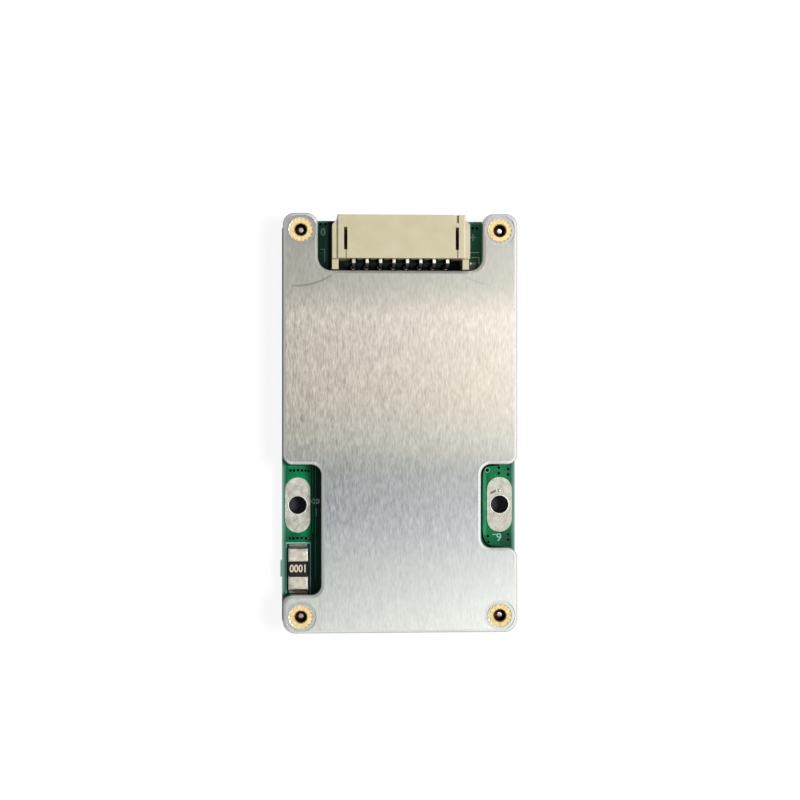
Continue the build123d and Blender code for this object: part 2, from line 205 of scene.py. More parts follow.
def band(tree, value, rise, fall):
    """1 between a rise and a fall, else 0. Each is a (low, high) pair."""
    return product(tree, span(tree, value, *rise), falling(tree, value, *fall))


def rgb(red, green, blue):
    """A colour as it is read from a screen, 0 to 255, in the linear values that Blender wants."""
    linear = (
        v / 255 / 12.92 if v <= 10 else ((v / 255 + 0.055) / 1.055) ** 2.4
        for v in (red, green, blue)
    )
    return (*linear, 1.0)


def principled(name, color, metallic=0.0, roughness=0.5, extra=None):
    """A new material with one Principled shader. Gives the material, its tree and the shader."""
    material = bpy.data.materials.new(name)
    material.use_nodes = True
    shader = material.node_tree.nodes["Principled BSDF"]
    sockets = {"Base Color": color, "Metallic": metallic, "Roughness": roughness}
    for socket, value in (sockets | (extra or {})).items():
        shader.inputs[socket].default_value = value
    return material, material.node_tree, shader


print("middle grey is", round(rgb(128, 128, 128)[0], 3))

# %% [markdown]
# Light Path tells which kind of ray is asking. The camera gets white, and what scatters light
# gets the dim fill. Metal mirrors a room: bright windows low on the right and in front, a darker
# wall on the left and behind, and the dark camera straight above. That is why the photograph's
# flat pins look dark with bright edges, and why the plate's bevel is white on one side only.

# %% World
fill_level = 0.19
room_dark, room_bright = 0.42, 1.45
room_edge = 0.5
camera_shade = 0.14
camera_edge = (0.90, 0.985)

world = bpy.data.worlds.new("studio")
world.use_nodes = True
bpy.context.scene.world = world
tree = world.node_tree
tree.nodes.clear()
path = node(tree, "LightPath").outputs
toward = node(tree, "SeparateXYZ", {0: node(tree, "TexCoord").outputs["Generated"]}).outputs
to_right, to_rear = product(tree, toward["X"], 0.8), product(tree, toward["Y"], 0.3)
sideways = minus(tree, to_right, to_rear)
room = span(tree, sideways, -room_edge, room_edge, room_dark, room_bright)
above = span(tree, toward["Z"], *camera_edge, 1.0, camera_shade)
fill, glossy, white = (
    node(tree, "Background", {"Color": (1, 1, 1, 1), "Strength": strength}).outputs[0]
    for strength in (fill_level, product(tree, room, above), 1.0)
)
lit = node(tree, "MixShader", {0: path["Is Glossy Ray"], 1: fill, 2: glossy}).outputs[0]
seen = larger(tree, path["Is Camera Ray"], path["Is Transmission Ray"])
shown = node(tree, "MixShader", {0: seen, 1: lit, 2: white}).outputs[0]
tree.links.new(shown, node(tree, "OutputWorld").inputs[0])
bpy.context.scene.view_settings.view_transform = "Standard"
print("world fill", fill_level)

# %% [markdown]
# ## Floor
#
# The picture's ground is plain white, yet the board needs a shadow to stand on. The floor is
# therefore mostly glow and a little matte paint: lit, the two add up to white, and in shadow
# only the glow is left. A small dark card lies under each pad's hole: a painted shadow that
# stands in for the deep shade under the board, which the two holes look through to.


# %% Floor and cards
def flat_piece(name, low, high, z, material):
    """A rectangle in the plane z."""
    mesh = bpy.data.meshes.new(name)
    corners = [(low[0], low[1]), (high[0], low[1]), (high[0], high[1]), (low[0], high[1])]
    mesh.from_pydata([(x, y, z) for x, y in corners], [], [(0, 1, 2, 3)])
    mesh.materials.append(material)
    return new_object(name, mesh)


floor_reach = 3.0
floor_paint, floor_glow = 0.12, 0.91
floor_material = bpy.data.materials.new("floor_white")
floor_material.use_nodes = True
tree = floor_material.node_tree
tree.nodes.clear()
paint_color = (floor_paint, floor_paint, floor_paint, 1)
paint = node(tree, "BsdfDiffuse", {"Color": paint_color}).outputs[0]
glow = node(tree, "Emission", {"Color": (1, 1, 1, 1), "Strength": floor_glow}).outputs[0]
both = node(tree, "AddShader", {0: paint, 1: glow}).outputs[0]
path = node(tree, "LightPath").outputs
seen = larger(tree, path["Is Camera Ray"], path["Is Glossy Ray"])
lit = node(tree, "MixShader", {0: seen, 1: paint, 2: both}).outputs[0]
tree.links.new(lit, node(tree, "OutputMaterial").inputs[0])
low_corner, high_corner = (-floor_reach, -floor_reach), (floor_reach, floor_reach)
floor = flat_piece("floor", low_corner, high_corner, 0.0, floor_material)
floor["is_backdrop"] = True

# Each card is a painted shadow under a pad's hole, for the deep shade under the board.
card_half = Vector((1.7, 1.7)) * mm
card_material, _, _ = principled("shadow_card", rgb(52, 52, 60), roughness=0.9)
for side in ("left", "right"):
    hole = middle(side + "_power_pad").xy
    low_corner, high_corner = hole - card_half, hole + card_half
    card = flat_piece("shadow_card_" + side, low_corner, high_corner, 0.01 * mm, card_material)
    card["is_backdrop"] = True
print("cards", [round(v / mm, 1) for v in card.dimensions[:2]], "mm")

# %% [markdown]
# ## Finishes
#
# Each finish starts from Blender's Principled shader. What is the same all over goes on its own
# sockets. What changes from place to place comes from noise, read in the part's own metres, so
# that a grain of 0.2 mm is 0.2 mm on every piece.


# %% Helpers for finishes
def place(tree):
    """Where a point lies on the part, in metres."""
    return node(tree, "TexCoord").outputs["Object"]


def place_axes(tree):
    """The X, Y and Z of a point on the part."""
    return node(tree, "SeparateXYZ", {0: place(tree)}).outputs


def facing_axes(tree):
    """The X, Y and Z of the surface's own normal."""
    return node(tree, "SeparateXYZ", {0: node(tree, "NewGeometry").outputs["True Normal"]}).outputs


def absolute(tree, value):
    """A value without its sign."""
    return math_node(tree, "ABSOLUTE", value)


def off_axis(tree, centre):
    """How far a point is from the upright line through a centre or its mirror images."""
    x, y, _ = place_axes(tree)
    off_x = minus(tree, absolute(tree, x), abs(centre.x))
    off_y = minus(tree, absolute(tree, y), abs(centre.y))
    flat = node(tree, "CombineXYZ", {0: off_x, 1: off_y}).outputs[0]
    return node(tree, "VectorMath", {0: flat}, operation="LENGTH").outputs["Value"]


def grain(tree, size, detail=2.0, roughness=0.5):
    """Noise from 0 to 1. Size is the grain in millimetres, along X, Y and Z or the same in all."""
    sizes = size if isinstance(size, tuple) else (size, size, size)
    scale = tuple(1 / (s * mm) for s in sizes)
    at = node(tree, "Mapping", {"Vector": place(tree), "Scale": scale}).outputs[0]
    noise = {"Vector": at, "Scale": 1.0, "Detail": detail, "Roughness": roughness}
    return node(tree, "TexNoise", noise).outputs[0]


def ramp(tree, factor, *stops):
    """Colours along a factor. Each stop is (position, colour)."""
    made = node(tree, "ValToRGB", {"Fac": factor})
    elements = made.color_ramp.elements
    for position, _ in stops[2:]:
        elements.new(position)
    for element, (position, color) in zip(elements, sorted(stops)):
        element.position, element.color = position, color
    return made.outputs[0]


def blend(tree, factor, a, b, kind="MIX"):
    """Mixes two colours."""
    mixed = node(tree, "Mix", {0: factor, 6: a, 7: b}, data_type="RGBA", blend_type=kind)
    return mixed.outputs[2]


def scaled(tree, color, factor):
    """A colour, darker or brighter by a factor."""
    return blend(tree, 1.0, color, factor, "MULTIPLY")


def surface(tree, shader, color, height, depth):
    """Links a colour, and presses a height from 0 to 1 into the surface, depth in mm."""
    tree.links.new(color, shader.inputs["Base Color"])
    bump = node(tree, "Bump", {"Height": height, "Strength": 1.0, "Distance": depth * mm})
    tree.links.new(bump.outputs[0], shader.inputs["Normal"])


def nodes_of(slot):
    """The CAD nodes that the record gives this material slot, in the frame's order."""
    in_slot = {s["node"] for s in frame["record"]["subparts"] if s["material_slot"] == slot}
    return [name for name in nodes if name in in_slot]


def finish(material, *names):
    """Gives a material to CAD nodes."""
    for name in names:
        nodes[name].data.materials.clear()
        nodes[name].data.materials.append(material)


print("helpers ready")

# %% [markdown]
# ### Brushed aluminium
#
# The plate was brushed along its length. Brushing leaves short streaks, so the noise is stretched
# along Y. The tone also drifts down the plate, from grey through a warm band to a cool one and
# a pale foot, which a ramp over Y gives: a painted reflection of the bright and dark bands that
# the brushed face mirrors. The bevel round the edge is cut clean and stays brighter than the
# face: the surface's own normal tells it apart, so no second mesh is needed.

# %% Plate tone by length
# Painted reflection: these tones are the bands of light and dark that the brushed face mirrors.
plate_tones = [
    (-31.2, (172, 176, 172)),
    (-25.0, (158, 162, 160)),
    (-16.0, (134, 138, 140)),
    (-11.0, (124, 128, 130)),
    (-7.0, (123, 126, 125)),
    (-2.5, (139, 138, 132)),
    (4.0, (149, 144, 136)),
    (16.0, (157, 152, 145)),
    (20.0, (139, 138, 131)),
    (31.2, (128, 129, 126)),
]
face_roughness, face_metal = 0.42, 1.0
plate, tree, shader = principled("plate_aluminium", rgb(200, 198, 192), face_metal, face_roughness)
x, y, z = place_axes(tree)
along = span(tree, y, plate_low.y, plate_high.y)
half_length = plate_high.y / mm
stops = [((at / half_length + 1) / 2, rgb(*color)) for at, color in plate_tones]
tone = ramp(tree, along, *stops)
print("tones along the plate:", len(plate_tones))

# %% [markdown]
# Two noises make the brushing: fine streaks and broader, softer ones. Both are stronger on the
# left and in the middle of the length, where the real plate is rougher, and they darken and
# brighten the tone.

# %% Plate streaks
streak_size, cloud_size = (0.22, 1.1, 1.0), (0.7, 2.6, 1.0)
streak_share = 0.72
across = span(tree, x, plate_low.x, plate_high.x)
streaks = grain(tree, streak_size, detail=3.0, roughness=0.6)
clouds = grain(tree, cloud_size)
cloud_part = product(tree, clouds, 1 - streak_share)
weave = math_node(tree, "ADD", product(tree, streaks, streak_share), cloud_part)
rough_left = span(tree, across, 0.0, 1.0, 2.0, 0.85)
rough_middle = span(tree, absolute(tree, y), 15 * mm, 22 * mm, 1.0, 0.45)
swing = product(tree, minus(tree, weave, 0.5), rough_left, rough_middle)
lightness = math_node(tree, "ADD", swing, 1.0)
# Painted shade: the tone is lighter on the left and darker on the right, where the lamp's
# reflection falls.
side_shade = span(tree, across, 0.0, 1.0, 1.06, 0.89)
brushed = scaled(tree, scaled(tree, tone, side_shade), lightness)
print("streaks", streak_size[0], "by", streak_size[1], "mm")

# %% [markdown]
# Two faint curved scuffs cross the plate's shoulders. Each is part of a circle, so whatever lies
# within a fifth of a millimetre of the circle's line gets darker.


# %% Scuffs
def circle_through(a, b, c):
    """Centre and radius of the circle through three points."""
    (ax, ay), (bx, by), (cx, cy) = a, b, c
    d = 2 * (ax * (by - cy) + bx * (cy - ay) + cx * (ay - by))
    squares = [px**2 + py**2 for px, py in (a, b, c)]
    x = (squares[0] * (by - cy) + squares[1] * (cy - ay) + squares[2] * (ay - by)) / d
    y = (squares[0] * (cx - bx) + squares[1] * (ax - cx) + squares[2] * (bx - ax)) / d
    return x, y, math.hypot(ax - x, ay - y)


def arc_mark(tree, points, width, fade=1.0):
    """1 on the arc through three points (mm), from the first to the last along X, else 0."""
    centre_x, centre_y, radius = circle_through(*points)
    centre = (centre_x * mm, centre_y * mm, 0)
    x, y, _ = place_axes(tree)
    level = node(tree, "CombineXYZ", {0: x, 1: y}).outputs[0]
    reach = node(tree, "VectorMath", {0: level, 1: centre}, operation="DISTANCE").outputs["Value"]
    off = absolute(tree, minus(tree, reach, radius * mm))
    line = falling(tree, off, width * mm / 2, width * mm)
    start, end, fade = points[0][0] * mm, points[-1][0] * mm, fade * mm
    return product(tree, line, band(tree, x, (start, start + fade), (end - fade, end)))


left_scuff = [(-16.4, 20.45), (-13.6, 20.61), (-9.7, 22.45)]
right_scuff = [(9.0, 22.2), (11.4, 21.13), (13.7, 20.55)]
left_mark = product(tree, arc_mark(tree, left_scuff, 0.20), 0.80)
right_mark = product(tree, arc_mark(tree, right_scuff, 0.22), 0.32)
marked = blend(tree, larger(tree, left_mark, right_mark), brushed, rgb(112, 109, 103))
print("scuffs: 2")

# %% [markdown]
# Last come the parts of the plate that are not brushed: its bevel and walls, which the normal
# shows, and the pressed rings round the nuts, which lie a little lower than the face. Where the
# bevel faces left or to the rear it is painted darker, a painted shade of the sides that face
# away from the light, and it is darker along its foot.

# %% Plate bevel, walls and pressed rings
bevel_foot = plate_top - 0.45 * mm
bevel_roughness, bevel_metal = 0.26, 0.42
facing_x, facing_y, facing_z = facing_axes(tree)
face = span(tree, facing_z, 0.90, 0.97)
# Painted shade: the bevel is darker where it faces left, except in the right recess, and where it
# faces the rear.
off_left = span(tree, facing_x, -0.6, 0.3, 0.78, 1.0)
duller_left = larger(tree, off_left, span(tree, x, 8.0 * mm, 10.0 * mm))
duller_rear = span(tree, facing_y, 0.0, 0.6, 1.0, 0.85)
# The bevel is also darker along its foot.
darker_foot = span(tree, z, bevel_foot, bevel_foot + 0.15 * mm, 0.30, 1.0)
duller = product(tree, duller_left, duller_rear, darker_foot)
bevel_tone = scaled(tree, rgb(246, 246, 245), duller)
pressed = falling(tree, z, plate_top - 0.10 * mm, plate_top - 0.04 * mm)
ringed = blend(tree, product(tree, pressed, 0.45), marked, rgb(136, 133, 136))
roughness = span(tree, face, 0.0, 1.0, bevel_roughness, face_roughness)
metallic = span(tree, face, 0.0, 1.0, bevel_metal, face_metal)
tree.links.new(roughness, shader.inputs["Roughness"])
tree.links.new(metallic, shader.inputs["Metallic"])
plate_color = blend(tree, face, bevel_tone, ringed)
surface(tree, shader, plate_color, product(tree, streaks, face), 0.004)
finish(plate, "heat_plate")
print("plate finished")

# %% [markdown]
# ### Brass, steel and tin
#
# The press nuts are brass, with a grain that varies a little, and their bores are painted dark
# red-brown below the rim. The nuts on the right are painted darker, a painted shade against the
# lamp's glare there. All four stand at the same distance from the part's middle, so the plain |X|
# and |Y| of a point tell how far it is from its own nut's axis. The screws are zinc plated steel.
# Pads, leads and solder share a tin finish: soft clouds, and tiny pits where the solder froze.

# %% Brass
nut_nodes = nodes_of("nut_brass")
nut_at, nut_top = middle("press_nut_top_right"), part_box("press_nut_top_right")[1].z
bore_edge = (0.90 * mm, 0.98 * mm)
bore_shade = (nut_top - 0.38 * mm, nut_top - 0.16 * mm)
brass, tree, shader = principled("nut_brass", rgb(216, 192, 134), metallic=1.0, roughness=0.48)
brass_stops = [(0.30, rgb(182, 160, 114)), (0.55, rgb(200, 180, 128)), (0.75, rgb(216, 201, 150))]
turned_tone = ramp(tree, grain(tree, 0.35), *brass_stops)
x, y, z = place_axes(tree)
near_axis = falling(tree, off_axis(tree, nut_at), *bore_edge)
in_bore = product(tree, near_axis, falling(tree, z, *bore_shade))
# Painted shade: the nuts on the right are painted darker, against the lamp's glare on that side.
turned_tone = scaled(tree, turned_tone, span(tree, x, -nut_at.x, nut_at.x, 0.98, 0.66))
bore_toned = blend(tree, in_bore, turned_tone, rgb(84, 40, 24))
surface(tree, shader, bore_toned, grain(tree, (0.08, 0.08, 0.3)), 0.004)
finish(brass, *nut_nodes)
print("brass on", len(nut_nodes), "nuts")

# %% Steel
steel, tree, shader = principled("screw_steel", rgb(170, 164, 166), metallic=1.0, roughness=0.30)
film = grain(tree, 0.6, detail=3.0)
zinc = ramp(tree, film, (0.3, rgb(146, 140, 143)), (0.7, rgb(184, 178, 179)))
surface(tree, shader, zinc, grain(tree, 0.2), 0.012)
screw_nodes = nodes_of("screw_steel")
finish(steel, *screw_nodes)
print("steel on", len(screw_nodes), "screws")

# %% Tin
pad_at = middle("right_power_pad")
pad_hole_radius = 1.325 * mm
tail_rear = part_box("connector_pins_upper")[0].y


def tinned(name, tones, roughness, depth, bored=False, shaded_bend=False):
    """Tin in three close tones. Pads get painted shade in their holes and on the right; pins on
    bends.
    """
    material, tree, shader = principled(name, tones[1], metallic=1.0, roughness=roughness)
    clouds = grain(tree, 0.9, detail=3.0, roughness=0.6)
    pits = grain(tree, (0.16, 0.22, 0.16))
    tone = ramp(tree, clouds, *zip((0.35, 0.52, 0.70), tones))
    tone = scaled(tree, tone, span(tree, pits, 0.32, 0.6, 0.82, 1.04))
    x, y, _ = place_axes(tree)
    if bored:
        # Painted shade: the right pad is dimmed, against the lamp's glare on that side.
        tone = scaled(tree, tone, span(tree, x, -pad_at.x, pad_at.x, 1.05, 0.62))
        # Painted shade inside the pad's hole: its wall is painted nearly black.
        wall_in, wall_out = pad_hole_radius + 0.01 * mm, pad_hole_radius + 0.03 * mm
        wall = falling(tree, off_axis(tree, pad_at), wall_in, wall_out)
        tone = blend(tree, wall, tone, rgb(30, 26, 26))
    if shaded_bend:
        # Painted shade: the pins' bends are painted nearly black, where they face away from the
        # light.
        bend = span(tree, y, tail_rear + 0.60 * mm, tail_rear + 0.80 * mm, 0.95, 0.0)
        tone = blend(tree, bend, tone, rgb(26, 24, 22))
    uneven = span(tree, clouds, 0.3, 0.7, roughness - 0.05, roughness + 0.07)
    tree.links.new(uneven, shader.inputs["Roughness"])
    surface(tree, shader, tone, pits, depth)
    return material


tin_tones = rgb(176, 173, 162), rgb(190, 187, 175), rgb(202, 200, 190)
pad_tones = rgb(148, 148, 139), rgb(162, 163, 154), rgb(176, 178, 170)
pin_tones = rgb(206, 202, 190), rgb(222, 218, 206), rgb(234, 230, 220)
tin = tinned("tin", tin_tones, 0.36, 0.010)
pad_tin = tinned("pad_tin", pad_tones, 0.40, 0.010, bored=True)
pin_tin = tinned("pin_tin", pin_tones, 0.30, 0.003, shaded_bend=True)
pad_nodes = ["left_power_pad", "right_power_pad"]
pin_nodes = ["connector_pins_upper", "connector_pins_lower"]
tin_nodes = nodes_of("tin")
finish(tin, *tin_nodes)
finish(pad_tin, *pad_nodes)
finish(pin_tin, *pin_nodes)
print("tin on", len(tin_nodes), "nodes")

# %% [markdown]
# ### Solder mask
#
# The board's green is a clear lacquer. Over the copper round the two power pads it looks bright,
# with soft patches, and over bare laminate dark. Towards the front and the right the copper's
# green is painted darker, a painted shade, and beside the connector the laminate is painted
# lighter, a painted light. A clear coat gives the gloss. Along the board's edge the lacquer stops
# short, and pale glass laminate shows. Behind the connector the green is painted nearly black, a
# painted shade of the connector and its pins.

# %% Solder mask
gloss = {"Specular IOR Level": 0.08, "Coat Weight": 0.30, "Coat Roughness": 0.06}
mask, tree, shader = principled("solder_mask", rgb(0, 132, 74), roughness=0.4, extra=gloss)
x, y, _ = place_axes(tree)
patches = grain(tree, (3.2, 5.0, 3.0), detail=1.0)
weave = grain(tree, 0.25, detail=1.0)
greens = [(0.38, rgb(0, 100, 70)), (0.50, rgb(0, 130, 82)), (0.62, rgb(0, 152, 90))]
front_shade = span(tree, y, -18.4 * mm, -16.4 * mm, 0.6, 1.0)
shade = product(tree, front_shade, span(tree, x, -12.0 * mm, 12.0 * mm, 1.0, 0.74))
over_copper = scaled(tree, ramp(tree, patches, *greens), shade)
# Painted light: beside the connector the laminate is painted lighter.
painted_light_at_plug = span(tree, y, 23.0 * mm, 24.0 * mm)
over_laminate = blend(tree, painted_light_at_plug, rgb(0, 66, 52), rgb(52, 132, 112))
print("gloss", gloss["Coat Weight"])

# %% [markdown]
# The copper pours under the two pads reach to the board's edges, but stop before the shunt on the
# left and well before the connector. A pour is where a point's X and Y pass all its limits.

# %% Copper pours
left_limit, right_limit = (-13.4 * mm, -13.2 * mm), (12.0 * mm, 12.3 * mm)
rear_limit = (8.0 * mm, 10.0 * mm)
pour_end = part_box("shunt_solder")[1].y + 0.3 * mm
shunt_limit = (pour_end - 0.15 * mm, pour_end)
beside = larger(tree, falling(tree, x, *left_limit), span(tree, x, *right_limit))
on_left_half = falling(tree, x, -1.0 * mm, 1.0 * mm)
at_shunt = product(tree, falling(tree, y, *shunt_limit), on_left_half)
past_pour = larger(tree, at_shunt, span(tree, y, *rear_limit))
poured = product(tree, beside, minus(tree, 1.0, past_pour))
green = blend(tree, poured, over_laminate, over_copper)
green = scaled(tree, green, span(tree, weave, 0.3, 0.7, 0.78, 1.10))
print("pour ends at", round(pour_end / mm, 1), "mm")

# %% [markdown]
# The border is found by the distance to the nearest edge, the painted shade behind the connector
# by its limits, and the cut walls of the board, which show bare laminate, by their upright faces.

# %% Border, painted shade and walls
stub_reach = 0.25 * mm
edge_left, edge_right = board_low.x + stub_reach, board_high.x
plug_shade_rise, plug_shade_fall = (-10.9 * mm, -10.6 * mm), (9.2 * mm, 10.2 * mm)
joints_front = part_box("connector_solder")[0].y
inset_x = math_node(tree, "MINIMUM", minus(tree, x, edge_left), minus(tree, edge_right, x))
inset_y = minus(tree, board_high.y, absolute(tree, y))
inset = math_node(tree, "MINIMUM", inset_x, inset_y)
border = span(tree, inset, 0.15 * mm, 0.60 * mm, 0.85, 0.0)
bordered = blend(tree, border, green, rgb(126, 176, 160))
# Painted shade: behind the connector's joints, and past its left flange, the green is painted
# nearly black.
behind_joints = span(tree, y, joints_front - 1.4 * mm, joints_front - 0.6 * mm)
plug_shade = product(tree, band(tree, x, plug_shade_rise, plug_shade_fall), behind_joints, 0.97)
plug_shaded = blend(tree, plug_shade, bordered, rgb(3, 14, 14))
level = span(tree, absolute(tree, facing_axes(tree)["Z"]), 0.5, 0.8)
walled = blend(tree, level, rgb(120, 170, 140), plug_shaded)
surface(tree, shader, walled, weave, 0.004)
finish(mask, "circuit_board")
print("mask on the board")

# %% [markdown]
# ### Moulded plastics
#
# The connector is glass-filled cream nylon: light goes a little way in, so a trace of subsurface
# softens its edges. Its rounded edges get a paler cream, found by the tilt of the surface: a
# painted highlight for the light they catch. Under the two latch slots the socket is painted dark
# brown, a painted shade. The chip bodies are black epoxy with a matte grain.

# %% Cream nylon
house_low, house_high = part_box("connector_housing")
soft = {
    "Subsurface Weight": 0.12,
    "Subsurface Scale": 0.4 * mm,
    "Subsurface Radius": (1.0, 0.8, 0.5),
}
nylon, tree, shader = principled("cream_nylon", rgb(212, 203, 168), roughness=0.42, extra=soft)
x, y, z = place_axes(tree)
swirl = grain(tree, (3.0, 2.0, 2.0))
cream = ramp(tree, swirl, (0.30, rgb(208, 199, 163)), (0.70, rgb(215, 207, 174)))
# Painted highlight: the rounded edges, told by their tilt, get a paler cream.
rim = band(tree, facing_axes(tree)["Z"], (0.20, 0.45), (0.93, 0.99))
edged = blend(tree, rim, cream, rgb(240, 232, 208))
# Painted shade: the socket under the two latch slots is painted dark brown.
slot_middle, slot_half = house_high.y - 3.5 * mm, 1.75 * mm
slot_rise, slot_fall = (7.3 * mm, 7.6 * mm), (8.72 * mm, 8.80 * mm)
off_slot = absolute(tree, minus(tree, y, slot_middle))
slot_length = falling(tree, off_slot, slot_half, slot_half + 0.10 * mm)
slot_width = band(tree, absolute(tree, x), slot_rise, slot_fall)
slot_depth = falling(tree, z, house_high.z - 0.8 * mm, house_high.z - 0.20 * mm)
under_slot = product(tree, slot_width, slot_depth, slot_length)
shaded = blend(tree, under_slot, edged, rgb(46, 16, 10))
surface(tree, shader, shaded, grain(tree, 0.15), 0.006)
finish(nylon, "connector_housing")
print("nylon on the connector")

# %% Epoxy, silicone and chip finishes
def speckled(name, dark, light, size, roughness, depth, extra=None):
    """A matte material between two close colours, with a fine grain. Size and depth in mm."""
    material, tree, shader = principled(name, light, roughness=roughness, extra=extra)
    speck = grain(tree, size)
    surface(tree, shader, ramp(tree, speck, (0.35, dark), (0.65, light)), speck, depth)
    return material


dull = {"Specular IOR Level": 0.2}
slot_looks = {
    "black_epoxy": (rgb(14, 13, 15), rgb(26, 24, 27), 0.12, 0.55, 0.006, dull),
    "silicone": (rgb(128, 134, 142), rgb(146, 152, 160), 0.3, 0.8, 0.008),
    "chip_ceramic": (rgb(150, 124, 88), rgb(172, 146, 106), 0.2, 0.5, 0.004),
    "resistor_glaze": (rgb(20, 20, 24), rgb(32, 32, 38), 0.4, 0.15, 0.002),
}
for slot, look in slot_looks.items():
    finish(speckled(slot, *look), *nodes_of(slot))
grey_ceramic = speckled("chip_grey", rgb(116, 128, 124), rgb(150, 160, 154), 0.2, 0.5, 0.004)
finish(grey_ceramic, "gap_chip")
print("plain finishes:", len(slot_looks))

# %% [markdown]
# ## Soft edges
#
# CAD edges are perfectly sharp, and no moulded edge is. A Weld modifier joins the vertices that
# the file format split, and a small Bevel then catches the light along each edge. The mesh
# itself stays as it was.


# %% Soft edges
def soften(name, width, segments=2):
    """Rounds a node's sharp edges by a width in millimetres."""
    weld = nodes[name].modifiers.new("weld", "WELD")
    weld.merge_threshold = 0.001 * mm
    bevel = nodes[name].modifiers.new("bevel", "BEVEL")
    bevel.width = width * mm
    bevel.segments = segments
    bevel.limit_method = "ANGLE"
    bevel.angle_limit = math.radians(40)
    bevel.use_clamp_overlap = True


edge_widths = {
    "connector_housing": 0.13,
    "shunt_terminal_upper": 0.06,
    "shunt_terminal_lower": 0.06,
    "connector_pins_upper": 0.07,
    "connector_pins_lower": 0.07,
}
for name, width in edge_widths.items():
    soften(name, width)
print("softened nodes:", len(edge_widths))

# %% [markdown]
# ## Turned pieces
#
# Screws, solder cones, vias and pad rims are all round. One helper turns a profile, a list of
# (radius, height) points in millimetres, about an upright line, and can do so at many places at
# once, which keeps each kind of detail one object.


# %% Turning helpers
def new_piece(name, build, material, crisp=None):
    """Makes an object from a function that fills a bmesh, and lets it ride on the board."""
    mesh = bpy.data.meshes.new(name)
    shape = bmesh.new()
    build(shape)
    bmesh.ops.recalc_face_normals(shape, faces=shape.faces)
    shape.to_mesh(mesh)
    shape.free()
    mesh.materials.append(material)
    made = new_object(name, mesh)
    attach(made, "root")
    if crisp:
        smooth(made, crisp)
    return made


def smooth(piece, crisp):
    """Smooth shading, with edges sharper than an angle in degrees kept crisp."""
    for polygon in piece.data.polygons:
        polygon.use_smooth = True
    piece.data.set_sharp_from_angle(angle=math.radians(crisp))


def skin(shape, rings, capped=False):
    """Joins each ring of vertices to the next with faces. A ring may be a single point."""
    for low, high in zip(rings, rings[1:]):
        for i in range(max(len(low), len(high))):
            steps = ((low, i), (low, i + 1), (high, i + 1), (high, i))
            corners = [ring[k % len(ring)] for ring, k in steps]
            shape.faces.new(list(dict.fromkeys(corners)))
    if capped:
        shape.faces.new(rings[-1])
        shape.faces.new(list(reversed(rings[0])))


def turned(shape, profile, at, segments, flip=1):
    """Adds a turned form to a bmesh. At is in metres, and flip -1 turns it upside down."""
    rings = []
    for radius, height in profile:
        angles = [2 * math.pi * i / segments for i in range(segments if radius else 1)]
        ring = [(radius * math.cos(a), radius * math.sin(a), flip * height) for a in angles]
        rings.append([shape.verts.new(at + Vector(point) * mm) for point in ring])
    skin(shape, rings)


def turn_all(profile, places, segments, flip=1):
    """Gives new_piece the function that turns one profile at every place."""

    def build(shape):
        for at in places:
            turned(shape, profile, at, segments, flip)

    return build


print("turning helpers ready")

# %% [markdown]
# ### Screws
#
# Each screw passes up through the board into its nut, and only its tip shows from above. The
# thread is a real helix: the shank's radius swells and shrinks with height, and the swell climbs
# one pitch per turn. The head gets its cross by a Boolean with a tapered cutter.

# %% Screw shank and head
pitch, core, crest = 0.4, 0.70, 0.865
around, per_turn = 24, 8
tip_bevel, tip_slope = 0.5, 0.85
screw_low, screw_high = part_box("screw_top_left")
screw_length = (screw_high.z - screw_low.z) / mm
head_height = 1.6
shank_length = screw_length - head_height
head_radius = (screw_high.x - screw_low.x) / mm / 2
crown_radius, crown_height, crown_steps = 1.15, 0.85, 6


def threaded_shank(shape):
    """A helical thread from the head to the tip, with a bevelled, closed end."""
    rows = int(shank_length / pitch * per_turn)
    rings = []
    for row in range(rows + 1):
        height = head_height + shank_length * row / rows
        taper = tip_slope * max(0.0, tip_bevel - (screw_length - height))
        ring = []
        for i in range(around):
            phase = (height / pitch - i / around) % 1.0
            radius = core + (crest - core) * (1 - abs(2 * phase - 1)) - taper
            angle = 2 * math.pi * i / around
            point = Vector((radius * math.cos(angle), radius * math.sin(angle), height))
            ring.append(shape.verts.new(point * mm))
        rings.append(ring)
    skin(shape, rings, capped=True)


def dome():
    """The profile of a pan head, from the middle of its crown to its rim and back in."""
    out = head_radius - crown_radius
    turns = [math.pi / 2 * k / crown_steps for k in range(crown_steps + 1)]
    curve = [(crown_radius + out * math.sin(t), crown_height * (1 - math.cos(t))) for t in turns]
    return [(0, 0), *curve, (head_radius, head_height), (0, head_height)]


shank = new_piece("screw_shank", threaded_shank, steel, crisp=35)
print("thread turns:", round(shank_length / pitch, 1))

# %% Screw crosses and copies
cross_span, cross_width, cross_depth, cross_foot = 2.0, 0.52, 0.95, 0.62
blade_start = -0.2


def cutter(shape):
    """Two tapered blades that stand across each other."""
    for long_x, long_y in ((cross_span, cross_width), (cross_width, cross_span)):
        ends = []
        for z, shrink in ((blade_start, 1.0), (cross_depth, cross_foot)):
            x, y = long_x / 2 * shrink, long_y / 2 * shrink
            corners = [(-x, -y, z), (x, -y, z), (x, y, z), (-x, y, z)]
            ends.append([shape.verts.new(Vector(corner) * mm) for corner in corners])
        skin(shape, ends, capped=True)


head = new_piece("screw_head", turn_all(dome(), [Vector((0, 0, 0))], 40), steel)
blade = new_piece("cross_cutter", cutter, steel)
cut = head.modifiers.new("cross", "BOOLEAN")
cut.operation, cut.solver, cut.object, cut.use_self = "DIFFERENCE", "EXACT", blade, True
bpy.context.view_layer.update()
cut_head = head.evaluated_get(bpy.context.evaluated_depsgraph_get())
cut_mesh = bpy.data.meshes.new_from_object(cut_head)
head.modifiers.clear()
head.data = cut_mesh
bpy.data.objects.remove(blade)
smooth(head, 35)

